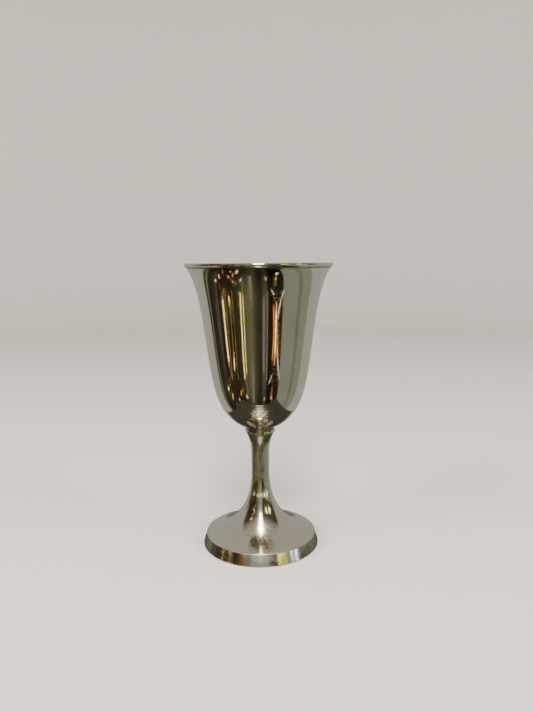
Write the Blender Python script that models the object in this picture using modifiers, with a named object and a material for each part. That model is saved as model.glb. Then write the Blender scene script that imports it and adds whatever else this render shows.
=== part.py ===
"""Silver-plated communion chalice: a spun bell bowl on a spun trumpet stem, held by a tie rod.

Metres, +Z up. The origin is the centre of the ring that the chalice stands on.
Every outline is a list of (radius, height) points in millimetres, and it runs
down the outer side of its piece from the top.
"""
import math

import bmesh
import bpy

MM = 0.001

# Driving dimensions, in millimetres
CHALICE_HEIGHT = 178.0
MOUTH_RADIUS = 45.1
FOOT_RADIUS = 36.8
NECK_RADIUS = 5.75
NECK_HEIGHT = 53.0
COLLAR_RADIUS = 9.4
BOWL_WALL = 0.8
STEM_WALL = 0.9
JOINT_GAP = 0.3

# Heights where one piece hands over to the next, in millimetres
BOWL_EDGE_HEIGHT = 175.5
BOWL_SIDE_HEIGHT = 99.8
BOWL_BASE_HEIGHT = 74.9
COLLAR_FOOT_HEIGHT = 72.45
STEM_TOP_HEIGHT = 71.7
SPIGOT_END_HEIGHT = 70.3
BOSS_END_HEIGHT = 66.0
FOOT_EDGE_HEIGHT = 7.27

# The tie rod is M4, with the washers and the nut that go with it, in millimetres
ROD_RADIUS = 2.0
ROD_TOP_HEIGHT = 72.5
ROD_END_HEIGHT = 10.0
ROD_HOLE_RADIUS = ROD_RADIUS + JOINT_GAP
CUP_WASHER_HEIGHT = 16.0
CUP_WASHER_THICKNESS = 1.2
LOCK_WASHER_THICKNESS = 0.9
LOCK_WASHER_RADIUS = 3.8
LOCK_WASHER_SPLIT = 0.8
NUT_THICKNESS = 3.2
NUT_ACROSS_FLATS = 7.0
CHAMFER = 0.3

SHELL_SIDES = 48
RING_SIDES = 48
SMALL_SIDES = 24


def clear_scene():
    for item in list(bpy.data.objects):
        bpy.data.objects.remove(item, do_unlink=True)


def collection_named(name):
    group = bpy.data.collections.new(name)
    bpy.context.scene.collection.children.link(group)
    return group


def metal(name, colour, roughness):
    """A plain metal with the given linear colour."""
    material = bpy.data.materials.new(name)
    material.use_nodes = True
    shader = material.node_tree.nodes["Principled BSDF"]
    shader.inputs["Base Color"].default_value = (*colour, 1.0)
    shader.inputs["Metallic"].default_value = 1.0
    shader.inputs["Roughness"].default_value = roughness
    material.diffuse_color = (*colour, 1.0)
    return material


def curve(start, first_pull, second_pull, end, steps):
    """Points along one cubic Bezier curve, both ends included."""
    points = []
    for step in range(steps + 1):
        t = step / steps
        weights = ((1 - t) ** 3, 3 * t * (1 - t) ** 2, 3 * t * t * (1 - t), t ** 3)
        corners = (start, first_pull, second_pull, end)
        radius = sum(weight * corner[0] for weight, corner in zip(weights, corners))
        height = sum(weight * corner[1] for weight, corner in zip(weights, corners))
        points.append((radius, height))
    return points


def arc(centre, radius, first_angle, last_angle, steps):
    """Points round a circle, with angles in degrees up from the outward direction."""
    points = []
    for step in range(steps + 1):
        angle = math.radians(first_angle + (last_angle - first_angle) * step / steps)
        points.append((centre[0] + radius * math.cos(angle), centre[1] + radius * math.sin(angle)))
    return points


def new_object(name, mesh, material, group):
    piece = bpy.data.objects.new(name, mesh)
    mesh.materials.append(material)
    group.objects.link(piece)
    return piece


def turned(name, outline, material, group, closed=True, sides=RING_SIDES):
    """Turn an outline about the Z axis. An open outline starts or ends where its surface does."""
    count = len(outline)
    edges = [(index, index + 1) for index in range(count - 1)]
    if closed:
        edges.append((count - 1, 0))
    mesh = bpy.data.meshes.new(name)
    mesh.from_pydata([(radius * MM, 0.0, height * MM) for radius, height in outline], edges, [])
    piece = new_object(name, mesh, material, group)
    screw = piece.modifiers.new("Turn", "SCREW")
    screw.axis = "Z"
    screw.angle = math.tau
    screw.steps = sides
    screw.render_steps = sides
    screw.use_merge_vertices = True
    screw.merge_threshold = 0.00001
    return piece


def add_wall(piece, thickness):
    """Give a turned surface its sheet thickness, on the inner side."""
    wall = piece.modifiers.new("Wall", "SOLIDIFY")
    wall.thickness = thickness * MM
    wall.offset = -1.0
    wall.use_even_offset = True


def cut(piece, cutter):
    cutter.hide_render = True
    cutter.display_type = "WIRE"
    difference = piece.modifiers.new("Cut", "BOOLEAN")
    difference.operation = "DIFFERENCE"
    difference.solver = "EXACT"
    difference.object = cutter


def make_bowl(material, group):
    """Bell-shaped cup, spun from one sheet, with its flared edge left open."""
    flare = curve((43.85, BOWL_EDGE_HEIGHT), (33.8, 161.3), (33.6, 121.8), (27.8, BOWL_SIDE_HEIGHT), 9)
    base = curve((27.8, BOWL_SIDE_HEIGHT), (22.7, 80.7), (10.9, BOWL_BASE_HEIGHT), (0.0, BOWL_BASE_HEIGHT), 8)
    bowl = turned("bowl", flare + base[1:], material, group, closed=False, sides=SHELL_SIDES)
    add_wall(bowl, BOWL_WALL)


def make_rim_wire(material, group):
    """D-section wire that stiffens the mouth. Its underside is parallel to the bowl's edge."""
    bead_radius = 0.95
    bead_centre = (MOUTH_RADIUS - bead_radius, CHALICE_HEIGHT - bead_radius)
    crown = arc(bead_centre, bead_radius, 90, -25, 4)
    seat = [(44.05, 175.8), (43.37, 176.25), (43.3, 177.1)]
    inner_crown = arc(bead_centre, bead_radius, 165, 125, 1)
    turned("rim_wire", crown + seat + inner_crown, material, group, sides=SHELL_SIDES)


def make_bowl_boss(material, group):
    """Boss under the bowl, with the blind hole that the tie rod screws into."""
    radius = 4.8
    top = BOWL_BASE_HEIGHT - JOINT_GAP
    hole_end = ROD_TOP_HEIGHT + 2 * JOINT_GAP
    outline = [
        (0.0, top),
        (radius - CHAMFER, top),
        (radius, top - CHAMFER),
        (radius, BOSS_END_HEIGHT + CHAMFER),
        (radius - CHAMFER, BOSS_END_HEIGHT),
        (ROD_HOLE_RADIUS, BOSS_END_HEIGHT),
        (ROD_HOLE_RADIUS, hole_end),
        (0.0, hole_end),
    ]
    turned("bowl_boss", outline, material, group, closed=False, sides=SMALL_SIDES)


def make_collar(material, group):
    """Beaded ring between bowl and stem, with a spigot that centres the stem's mouth."""
    bore = 4.8 + JOINT_GAP
    spigot = 6.5
    bead_radius = 0.75
    bead_top = 73.95
    bead_centre = COLLAR_RADIUS - bead_radius
    cove = [(9.6, 76.2), (9.0, 75.5), (8.8, 74.95)]
    bead = arc((bead_centre, bead_top), bead_radius, 60, 0, 2)
    bead += arc((bead_centre, COLLAR_FOOT_HEIGHT + bead_radius), bead_radius, 0, -60, 2)
    underside = [
        (bead_centre, COLLAR_FOOT_HEIGHT),
        (spigot, COLLAR_FOOT_HEIGHT),
        (spigot, SPIGOT_END_HEIGHT + CHAMFER),
        (spigot - CHAMFER, SPIGOT_END_HEIGHT),
        (bore, SPIGOT_END_HEIGHT),
    ]
    seat = [(bore, 75.0), (7.8, 75.6)]
    turned("collar", cove + bead + underside + seat, material, group)


def make_stem_foot(material, group):
    """Hollow stem and round foot, spun in one: a flared head, a narrow neck and a trumpet."""
    head = curve((8.45, STEM_TOP_HEIGHT), (5.3, 65.9), (NECK_RADIUS, 62.1), (NECK_RADIUS, NECK_HEIGHT), 6)
    trumpet = curve(
        (NECK_RADIUS, NECK_HEIGHT), (NECK_RADIUS, 45.0), (2.5, 15.5), (34.05, FOOT_EDGE_HEIGHT), 14
    )
    stem = turned("stem_foot", head + trumpet[1:], material, group, closed=False, sides=SHELL_SIDES)
    add_wall(stem, STEM_WALL)


def make_foot_rim(material, group):
    """Bevelled base moulding. Its rebate takes the foot's edge, and its flat underside stands."""
    inner = 32.6
    rebate_radius = 34.35
    rebate_height = 6.05
    lip_height = 7.15
    outline = [
        (34.6, lip_height),
        (34.8, 6.95),
        (FOOT_RADIUS, 0.6),
        (FOOT_RADIUS - 0.1, 0.2),
        (FOOT_RADIUS - 0.4, 0.0),
        (inner + CHAMFER, 0.0),
        (inner, CHAMFER),
        (inner, rebate_height - CHAMFER),
        (inner + CHAMFER, rebate_height),
        (rebate_radius, rebate_height),
        (rebate_radius, lip_height),
    ]
    turned("foot_rim", outline, material, group, sides=SHELL_SIDES)


def make_tie_rod(material, group):
    """Threaded rod, drawn at its outer diameter, from the boss down to the nut."""
    outline = [
        (0.0, ROD_TOP_HEIGHT),
        (ROD_RADIUS - CHAMFER, ROD_TOP_HEIGHT),
        (ROD_RADIUS, ROD_TOP_HEIGHT - CHAMFER),
        (ROD_RADIUS, ROD_END_HEIGHT + CHAMFER),
        (ROD_RADIUS - CHAMFER, ROD_END_HEIGHT),
        (0.0, ROD_END_HEIGHT),
    ]
    turned("tie_rod", outline, material, group, closed=False, sides=16)


def make_cup_washer(material, group):
    """Dished washer whose rim bears on the inside of the trumpet."""
    bottom = CUP_WASHER_HEIGHT
    top = bottom + CUP_WASHER_THICKNESS
    rim_height = 19.9
    outline = [
        (12.0, rim_height),
        (12.1, 19.2),
        (6.0, bottom),
        (ROD_HOLE_RADIUS, bottom),
        (ROD_HOLE_RADIUS, top),
        (5.6, top),
        (11.2, rim_height),
    ]
    turned("cup_washer", outline, material, group, sides=SMALL_SIDES)


def make_lock_washer(material, group, cutters):
    """Spring washer, split on one side."""
    top = CUP_WASHER_HEIGHT - JOINT_GAP
    bottom = top - LOCK_WASHER_THICKNESS
    outline = [
        (LOCK_WASHER_RADIUS, top),
        (LOCK_WASHER_RADIUS, bottom),
        (ROD_HOLE_RADIUS, bottom),
        (ROD_HOLE_RADIUS, top),
    ]
    washer = turned("lock_washer", outline, material, group, sides=SMALL_SIDES)
    mesh = bpy.data.meshes.new("split")
    shape = bmesh.new()
    bmesh.ops.create_cube(shape, size=1.0)
    size = (LOCK_WASHER_RADIUS * MM, LOCK_WASHER_SPLIT * MM, 3 * LOCK_WASHER_THICKNESS * MM)
    bmesh.ops.scale(shape, vec=size, verts=shape.verts)
    shape.to_mesh(mesh)
    shape.free()
    split = new_object("split", mesh, material, cutters)
    split.location = ((LOCK_WASHER_RADIUS * 0.5 + 1.0) * MM, 0.0, (top + bottom) * 0.5 * MM)
    split.rotation_euler = (math.radians(25), 0.0, 0.0)
    cut(washer, split)


def make_nut(material, group, cutters):
    """Hexagon nut below the lock washer, with its hole cut through."""
    top = CUP_WASHER_HEIGHT - 2 * JOINT_GAP - LOCK_WASHER_THICKNESS
    middle = top - NUT_THICKNESS * 0.5
    corner_radius = NUT_ACROSS_FLATS / math.sqrt(3)
    shapes = {}
    for name, segments, radius, depth in (
        ("nut", 6, corner_radius, NUT_THICKNESS),
        ("nut_hole", SMALL_SIDES, ROD_HOLE_RADIUS, 2 * NUT_THICKNESS),
    ):
        mesh = bpy.data.meshes.new(name)
        shape = bmesh.new()
        bmesh.ops.create_cone(
            shape, cap_ends=True, segments=segments, radius1=radius * MM, radius2=radius * MM, depth=depth * MM
        )
        shape.to_mesh(mesh)
        shape.free()
        shapes[name] = mesh
    nut = new_object("nut", shapes["nut"], material, group)
    nut.location.z = middle * MM
    hole = new_object("nut_hole", shapes["nut_hole"], material, cutters)
    hole.location.z = middle * MM
    edges = nut.modifiers.new("Corners", "BEVEL")
    edges.width = CHAMFER * MM
    edges.segments = 1
    cut(nut, hole)


def main():
    clear_scene()
    parts = collection_named("communion_chalice")
    cutters = collection_named("cutters")
    bright_plate = metal("bright_silver_plate", (0.80, 0.77, 0.68), 0.08)
    worn_plate = metal("worn_silver_plate", (0.76, 0.73, 0.65), 0.18)
    brass = metal("brass", (0.78, 0.57, 0.25), 0.30)
    steel = metal("zinc_plated_steel", (0.60, 0.60, 0.58), 0.35)
    make_bowl(bright_plate, parts)
    make_rim_wire(bright_plate, parts)
    make_bowl_boss(brass, parts)
    make_collar(bright_plate, parts)
    make_stem_foot(worn_plate, parts)
    make_foot_rim(worn_plate, parts)
    make_tie_rod(steel, parts)
    make_cup_washer(steel, parts)
    make_lock_washer(steel, parts, cutters)
    make_nut(steel, parts, cutters)


main()
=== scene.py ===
"""Silver-plated communion chalice: the fine surfaces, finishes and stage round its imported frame.

Outlines are lists of (radius, height) points in millimetres. Each runs down the outer
side of its piece from the top, and a lathe built from geometry nodes turns it.
"""
import math

import bmesh
import bpy
from bpy.props import FloatProperty, FloatVectorProperty, IntProperty, PointerProperty
from mathutils import Matrix, Vector


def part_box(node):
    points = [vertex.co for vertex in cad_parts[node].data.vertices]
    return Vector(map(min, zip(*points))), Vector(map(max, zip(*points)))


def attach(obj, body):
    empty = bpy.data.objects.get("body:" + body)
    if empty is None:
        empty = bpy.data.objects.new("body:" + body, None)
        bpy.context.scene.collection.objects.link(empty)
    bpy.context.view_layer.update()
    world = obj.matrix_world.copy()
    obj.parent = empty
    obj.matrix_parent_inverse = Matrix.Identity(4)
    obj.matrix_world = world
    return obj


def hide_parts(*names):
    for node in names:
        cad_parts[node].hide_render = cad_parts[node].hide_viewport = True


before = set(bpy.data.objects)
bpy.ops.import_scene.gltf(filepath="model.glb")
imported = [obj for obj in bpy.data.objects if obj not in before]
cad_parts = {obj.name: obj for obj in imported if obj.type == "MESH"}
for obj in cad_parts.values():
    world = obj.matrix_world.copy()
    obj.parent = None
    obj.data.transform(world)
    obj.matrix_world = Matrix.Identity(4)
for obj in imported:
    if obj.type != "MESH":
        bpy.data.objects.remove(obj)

bl_info = {
    "name": "Communion Chalice",
    "version": (1, 0, 0),
    "blender": (4, 5, 0),
    "location": "3D View > Sidebar > Chalice",
    "description": "Builds a silver-plated chalice round its frame, with its finishes and a plain stage",
    "category": "Add Mesh",
}

MM = 0.001
BODY = "root"

# Sizes that the frame gives, in millimetres
CHALICE_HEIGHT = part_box("rim_wire")[1][2] / MM
MOUTH_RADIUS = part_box("rim_wire")[1][0] / MM
FOOT_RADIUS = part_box("foot_rim")[1][0] / MM
NUT_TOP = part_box("nut")[1][2] / MM
NUT_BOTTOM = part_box("nut")[0][2] / MM
RING_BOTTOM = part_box("lock_washer")[0][2] / MM
ROD_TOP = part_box("tie_rod")[1][2] / MM
ROD_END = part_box("tie_rod")[0][2] / MM
BOSS_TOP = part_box("bowl_boss")[1][2] / MM
BOSS_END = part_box("bowl_boss")[0][2] / MM

# Radii that the frame's boxes don't give, in millimetres
NECK_RADIUS = 5.75
COLLAR_RADIUS = 9.4
ROD_RADIUS = 2.0
ROD_HOLE = 2.3
BOSS_RADIUS = 4.8

# Places where the main outlines start, change or end, as (radius, height)
BOWL_EDGE = (43.85, 175.5)
BOWL_TURN = (27.8, 99.8)
BOWL_BOTTOM = 74.9
STEM_TOP = (8.8, 72.4)
NECK = (NECK_RADIUS, 53.0)
FOOT_LIP = (34.3, 7.205)

# Drawn pieces meet with a hairline between them, in millimetres
HAIRLINE = 0.05
# A guard point stands this far beyond each end of a rounded corner, in millimetres
GUARD = 0.03
# A corner that turns less than this is left as it is
SHALLOW = math.radians(20)
# A rounding takes up at most this share of the shorter side beside it
ROUNDING_SHARE = 0.4

# Points nearer to each other than this are one, and faces thinner than this are none, in metres
WELD = 0.000002
SLIVER = 1e-7

# Faces round the pieces that the property leaves alone: the collar, boss and dished washer, and rod
COLLAR_SIDES = 128
SMALL_SIDES = 96
ROD_SIDES = 32

# The kinds of node that are used most
MATH = "ShaderNodeMath"
MIX = "ShaderNodeMix"
NOISE = "ShaderNodeTexNoise"
RANGE = "ShaderNodeMapRange"
BUMP = "ShaderNodeBump"

# Sockets of the Mix node in its colour mode
MIX_A, MIX_B, MIX_RESULT = 6, 7, 2


def srgb(code):
    """A hex colour such as #E6E1D3 as linear red, green and blue."""
    channels = [int(code[place:place + 2], 16) / 255 for place in (1, 3, 5)]
    return tuple(c / 12.92 if c <= 0.04045 else ((c + 0.055) / 1.055) ** 2.4 for c in channels)


def feed(node, name, value):
    """Give an input its value, or link it to a socket or to the first output of another node."""
    if isinstance(value, bpy.types.Node):
        value = value.outputs[0]
    if isinstance(value, bpy.types.NodeSocket):
        node.id_data.links.new(value, node.inputs[name])
    else:
        node.inputs[name].default_value = value


def add(tree, kind, inputs=None, **settings):
    """Add one node with its settings, and feed its inputs."""
    node = tree.nodes.new(kind)
    for name, value in settings.items():
        setattr(node, name, value)
    for name, value in (inputs or {}).items():
        feed(node, name, value)
    return node


# ---------------------------------------------------------------- outlines

def curve(start, first_pull, second_pull, end, steps):
    """Points along one cubic Bezier curve, both ends included."""
    corners = (start, first_pull, second_pull, end)
    points = []
    for step in range(steps + 1):
        t = step / steps
        weights = ((1 - t) ** 3, 3 * t * (1 - t) ** 2, 3 * t * t * (1 - t), t ** 3)
        points.append(tuple(sum(w * c[axis] for w, c in zip(weights, corners)) for axis in (0, 1)))
    return points


def arc(centre, radius, first_angle, last_angle, steps):
    """Points round a circle, with angles in degrees up from the outward direction."""
    points = []
    for step in range(steps + 1):
        angle = math.radians(first_angle + (last_angle - first_angle) * step / steps)
        points.append((centre[0] + radius * math.cos(angle), centre[1] + radius * math.sin(angle)))
    return points


def straight(first, last, steps):
    """Evenly spaced points along a line, both ends included."""
    return [tuple(Vector(first).lerp(Vector(last), step / steps)) for step in range(steps + 1)]


def parallel(points, distance):
    """The line that runs a distance inside an outline."""
    inner = []
    for index, point in enumerate(points):
        before = points[max(index - 1, 0)]
        after = points[min(index + 1, len(points) - 1)]
        run = Vector((after[0] - before[0], after[1] - before[1])).normalized()
        inner.append((max(point[0] + distance * run.y, 0.0), point[1] - distance * run.x))
    if points[-1][0] == 0.0:
        inner[-1] = (0.0, points[-1][1] + distance)
    return inner


def eased(corners, radius, steps=4):
    """A closed outline with its sharp corners rounded, and a guard point beyond each rounding.

    The guard points stop smooth shading from spreading a rounded corner over the flat beside it.
    """
    points = []
    count = len(corners)
    for index in range(count):
        here = Vector(corners[index])
        back = Vector(corners[index - 1]) - here
        ahead = Vector(corners[(index + 1) % count]) - here
        inside_angle = back.angle(ahead)
        if here.x == 0.0 or math.pi - inside_angle < SHALLOW:
            points.append(tuple(here))
            continue
        half = inside_angle / 2
        setback = min(radius / math.tan(half), ROUNDING_SHARE * min(back.length, ahead.length))
        true_radius = setback * math.tan(half)
        first = here + back.normalized() * setback
        last = here + ahead.normalized() * setback
        middle = (back.normalized() + ahead.normalized()).normalized()
        centre = here + middle * (true_radius / math.sin(half))
        points.append(tuple(first + back.normalized() * GUARD))
        for step in range(steps + 1):
            spoke = (first - centre).lerp(last - centre, step / steps).normalized() * true_radius
            points.append(tuple(centre + spoke))
        points.append(tuple(last + ahead.normalized() * GUARD))
    return points


def shell(outer, thickness, corner):
    """The closed outline of a sheet of metal whose outer side is given."""
    return eased(outer + parallel(outer, thickness)[::-1], corner)


# The bell of the bowl, from its edge down to the middle of its base
BOWL_SIDE = curve(BOWL_EDGE, (33.8, 161.3), (33.6, 121.8), BOWL_TURN, steps=120)
BOWL_BASE = curve(BOWL_TURN, (22.7, 80.7), (10.9, BOWL_BOTTOM), (0.0, BOWL_BOTTOM), steps=90)
BOWL_OUTER = BOWL_SIDE + BOWL_BASE[1:]

# The stem's flared head, its neck and the trumpet of the foot
STEM_HEAD = curve(STEM_TOP, (5.4, 66.0), (NECK_RADIUS, 62.1), NECK, steps=60)
TRUMPET = curve(NECK, (NECK_RADIUS, 45.0), (2.5, 15.5), FOOT_LIP, steps=170)


def height_on(outline, radius):
    """The height at which an outline first comes in to a radius."""
    for first, second in zip(outline, outline[1:]):
        if first[0] >= radius > second[0]:
            share = (first[0] - radius) / (first[0] - second[0])
            return first[1] + share * (second[1] - first[1])
    raise ValueError(f"the outline never reaches a radius of {radius} mm")


def nearness(outline, places):
    """How near each point is to any of some (radius, height, spread) places, from 0 to 1."""
    near = []
    for point in outline:
        most = 0.0
        for radius, height, spread in places:
            gap = math.hypot(point[0] - radius, point[1] - height)
            most = max(most, math.exp(-((gap / spread) ** 2)))
        near.append(most)
    return near


def haze_along(outline, outer, inner, worn):
    """How hazy each point is: one value for the outer side, one for the inner side, and worn places.

    Worn places are (radius, height, spread, haze). The sides part where the outline runs level.
    """
    blend = 0.02
    wear = [0.0] * len(outline)
    for radius, height, spread, most in worn:
        near = nearness(outline, [(radius, height, spread)])
        wear = [max(here, most * share) for here, share in zip(wear, near)]
    haze = []
    count = len(outline)
    for index in range(count):
        before = Vector(outline[index - 1])
        after = Vector(outline[(index + 1) % count])
        outward = (before - after).normalized().y
        share = min(max((outward + blend) / (2 * blend), 0.0), 1.0)
        haze.append(max(inner + (outer - inner) * share, wear[index]))
    return haze


# ---------------------------------------------------------------- the lathe

def group_inputs(tree, kinds):
    """Give a geometry node tree its named inputs and its one output, and return the inputs."""
    for name, kind in kinds.items():
        tree.interface.new_socket(name, in_out="INPUT", socket_type="NodeSocket" + kind)
    tree.interface.new_socket("Geometry", in_out="OUTPUT", socket_type="NodeSocketGeometry")
    return add(tree, "NodeGroupInput").outputs


def end_tree(tree, shape, material):
    """End a geometry node tree: its instances made real, in one material."""
    real = add(tree, "GeometryNodeRealizeInstances", {"Geometry": shape})
    covered = add(tree, "GeometryNodeSetMaterial", {"Geometry": real, "Material": material})
    add(tree, "NodeGroupOutput", {"Geometry": covered})
    return tree


def lathe_tree():
    """Geometry nodes that turn the points of a closed outline, in order, about the Z axis."""
    tree = bpy.data.node_groups.new("Lathe", "GeometryNodeTree")
    given = group_inputs(tree, {
        "Geometry": "Geometry", "Sides": "Int", "Thread Pitch": "Float", "Thread Depth": "Float",
        "Material": "Material",
    })
    outline = given["Geometry"]

    # One column of points for each side. The first column and the first row each come round again.
    size = add(tree, "GeometryNodeAttributeDomainSize", {"Geometry": outline}, component="MESH")
    points = size.outputs["Point Count"]
    rows = add(tree, MATH, {0: points, 1: 1.0}, operation="ADD")
    columns = add(tree, MATH, {0: given["Sides"], 1: 1.0}, operation="ADD")
    grid = add(tree, "GeometryNodeMeshGrid", {"Vertices X": columns, "Vertices Y": rows})

    index = add(tree, "GeometryNodeInputIndex")
    row = add(tree, MATH, {0: index, 1: rows}, operation="MODULO")
    point = add(tree, MATH, {0: row, 1: points}, operation="MODULO")
    share = add(tree, MATH, {0: index, 1: rows}, operation="DIVIDE")
    column = add(tree, MATH, {0: share}, operation="FLOOR")
    around = add(tree, MATH, {0: column, 1: given["Sides"]}, operation="DIVIDE")
    # A quarter turn puts the join at the back
    angle = add(tree, MATH, {0: around, 1: -math.tau, 2: math.pi / 2}, operation="MULTIPLY_ADD")

    sampled = {}
    for name in ("crease_tarnish_and_shade", "haze", "run", "thread"):
        channel = add(tree, "GeometryNodeInputNamedAttribute", {"Name": name}, data_type="FLOAT")
        sampled[name] = add(tree, "GeometryNodeSampleIndex", {
            "Geometry": outline, "Value": channel.outputs["Attribute"], "Index": point,
        }, data_type="FLOAT", domain="POINT")
    place = add(tree, "GeometryNodeInputPosition")
    spot = add(tree, "GeometryNodeSampleIndex", {
        "Geometry": outline, "Value": place, "Index": point,
    }, data_type="FLOAT_VECTOR", domain="POINT")
    split = add(tree, "ShaderNodeSeparateXYZ", {0: spot}).outputs

    # A screw thread is a saw of triangles that climbs one pitch in each turn
    turns = add(tree, MATH, {0: split["Z"], 1: given["Thread Pitch"]}, operation="DIVIDE")
    phase = add(tree, MATH, {0: turns, 1: around}, operation="ADD")
    wave = add(tree, MATH, {0: phase, 1: 0.5}, operation="PINGPONG")
    groove = add(tree, MATH, {0: wave, 1: given["Thread Depth"]}, operation="MULTIPLY")
    groove = add(tree, MATH, {0: groove, 1: sampled["thread"]}, operation="MULTIPLY")
    # The wave rises only to a half, so it is doubled to cut the whole depth
    radius = add(tree, MATH, {0: groove, 1: -2.0, 2: split["X"]}, operation="MULTIPLY_ADD")
    spoke = add(tree, "ShaderNodeCombineXYZ", {"X": radius, "Z": split["Z"]})
    turned = add(
        tree, "ShaderNodeVectorRotate", {"Vector": spoke, "Angle": angle}, rotation_type="Z_AXIS",
    )
    shape = add(tree, "GeometryNodeSetPosition", {"Geometry": grid, "Position": turned})

    for name in ("crease_tarnish_and_shade", "haze"):
        shape = add(tree, "GeometryNodeStoreNamedAttribute", {
            "Geometry": shape, "Name": name, "Value": sampled[name],
        }, data_type="FLOAT", domain="POINT")
    unrolled = add(tree, "ShaderNodeCombineXYZ", {"X": around, "Y": sampled["run"]})
    shape = add(tree, "GeometryNodeStoreNamedAttribute", {
        "Geometry": shape, "Name": "UVMap", "Value": unrolled,
    }, data_type="FLOAT2", domain="CORNER")
    shape = add(tree, "GeometryNodeMergeByDistance", {"Geometry": shape, "Distance": WELD})
    shape = add(tree, "GeometryNodeSetShadeSmooth", {"Geometry": shape, "Shade Smooth": True})
    return end_tree(tree, shape, given["Material"])


def split_ring_tree():
    """Geometry nodes for a ring of square section, cut open and slightly sprung."""
    tree = bpy.data.node_groups.new("Split Ring", "GeometryNodeTree")
    given = group_inputs(tree, {
        "Geometry": "Geometry", "Radius": "Float", "Turns": "Float", "Rise": "Float",
        "Width": "Float", "Thickness": "Float", "Height": "Float", "Material": "Material",
    })
    path = add(tree, "GeometryNodeCurveSpiral", {
        "Resolution": 72, "Rotations": given["Turns"], "Start Radius": given["Radius"],
        "End Radius": given["Radius"], "Height": given["Rise"],
    })
    upright = add(tree, "GeometryNodeSetCurveNormal", {"Curve": path}, mode="Z_UP")
    section = add(tree, "GeometryNodeCurvePrimitiveQuadrilateral", {
        "Width": given["Width"], "Height": given["Thickness"],
    }, mode="RECTANGLE")
    ring = add(tree, "GeometryNodeCurveToMesh", {
        "Curve": upright, "Profile Curve": section, "Fill Caps": True,
    })
    lift = add(tree, "ShaderNodeCombineXYZ", {"Z": given["Height"]})
    raised = add(tree, "GeometryNodeSetPosition", {"Geometry": ring, "Offset": lift})
    flat = add(tree, "GeometryNodeSetShadeSmooth", {"Geometry": raised, "Shade Smooth": False})
    return end_tree(tree, flat, given["Material"])


def tree_named(name, builder):
    """A geometry node tree, built the first time that it is asked for."""
    return bpy.data.node_groups.get(name) or builder()


def new_object(name, mesh):
    """An object at the origin, in the scene."""
    piece = bpy.data.objects.new(name, mesh)
    bpy.context.scene.collection.objects.link(piece)
    return piece


def lattice(name, rows, material, closed=False):
    """A mesh with a face between each four neighbours in rows of points.

    When it is closed, the last row and the last column join the first.
    """
    count = len(rows)
    width = len(rows[0])
    ends = 0 if closed else 1
    faces = []
    for row in range(count - ends):
        here = row * width
        following = (row + 1) % count * width
        for column in range(width - ends):
            later = (column + 1) % width
            faces.append((here + column, here + later, following + later, following + column))
    mesh = bpy.data.meshes.new(name)
    mesh.from_pydata([point for row in rows for point in row], [], faces)
    mesh.materials.append(material)
    return mesh


def run_tree(seed, tree, values):
    """Run a geometry node tree on a seed object and return the plain mesh that comes out."""
    modifier = seed.modifiers.new(tree.name, "NODES")
    modifier.node_group = tree
    for item in tree.interface.items_tree:
        if item.in_out == "INPUT" and item.name in values:
            modifier[item.identifier] = values[item.name]
    bpy.context.view_layer.update()
    depsgraph = bpy.context.evaluated_depsgraph_get()
    mesh = bpy.data.meshes.new_from_object(seed.evaluated_get(depsgraph), depsgraph=depsgraph)
    spare = seed.data
    bpy.data.objects.remove(seed)
    bpy.data.meshes.remove(spare)
    return mesh


def close_up(mesh):
    """Clear what collapsed at the poles, and make sure that the skin is closed and faces outwards."""
    shape = bmesh.new()
    shape.from_mesh(mesh)
    bmesh.ops.dissolve_degenerate(shape, dist=SLIVER, edges=shape.edges)
    loose = [edge for edge in shape.edges if not edge.link_faces]
    bmesh.ops.delete(shape, geom=loose, context="EDGES")
    stray = [vertex for vertex in shape.verts if not vertex.link_faces]
    bmesh.ops.delete(shape, geom=stray, context="VERTS")
    is_closed = all(edge.is_manifold for edge in shape.edges)
    volume = shape.calc_volume(signed=True)
    shape.to_mesh(mesh)
    shape.free()
    if not is_closed:
        raise RuntimeError(f"{mesh.name} is not closed")
    if volume <= 0:
        raise RuntimeError(f"{mesh.name} is inside out")


def turn(name, outline, material, sides, creases=(), haze=(0.0, 0.0), worn=(), thread=None):
    """Turn a closed outline into a finished piece.

    The creases are darkened brown, as tarnish and as painted shade. haze is for the outer and the inner
    side. A thread has its pitch, its depth and, for each point, whether it is cut there.
    """
    seed_mesh = bpy.data.meshes.new("outline")
    count = len(outline)
    edges = [(index, index + 1) for index in range(count - 1)]
    seed_mesh.from_pydata([(radius * MM, 0.0, height * MM) for radius, height in outline], edges, [])
    run = [0.0]
    for first, second in zip(outline, outline[1:]):
        run.append(run[-1] + math.dist(first, second))
    thread = thread or {"where": [0.0] * count, "pitch": 1.0, "depth": 0.0}
    # Each point's share of the brown in the creases, which is tarnish and painted shade
    channels = {
        "crease_tarnish_and_shade": nearness(outline, creases),
        "haze": haze_along(outline, *haze, worn),
        "run": run,
        "thread": thread["where"],
    }
    for channel, values in channels.items():
        seed_mesh.attributes.new(channel, "FLOAT", "POINT").data.foreach_set("value", values)
    mesh = run_tree(new_object("outline", seed_mesh), tree_named("Lathe", lathe_tree), {
        "Sides": sides,
        "Thread Pitch": thread["pitch"] * MM,
        "Thread Depth": thread["depth"] * MM,
        "Material": material,
    })
    mesh.name = name
    close_up(mesh)
    return new_object(name, mesh)


def settle(piece, node):
    """Stand a finished piece for its frame node."""
    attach(piece, BODY)
    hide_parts(node)


# ---------------------------------------------------------------- finishes

def new_material(name):
    """A new material with its node tree, its shader and the object coordinates for its patterns."""
    material = bpy.data.materials.new(name)
    material.use_nodes = True
    tree = material.node_tree
    coords = add(tree, "ShaderNodeTexCoord").outputs["Object"]
    return material, tree, tree.nodes["Principled BSDF"], coords


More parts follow.
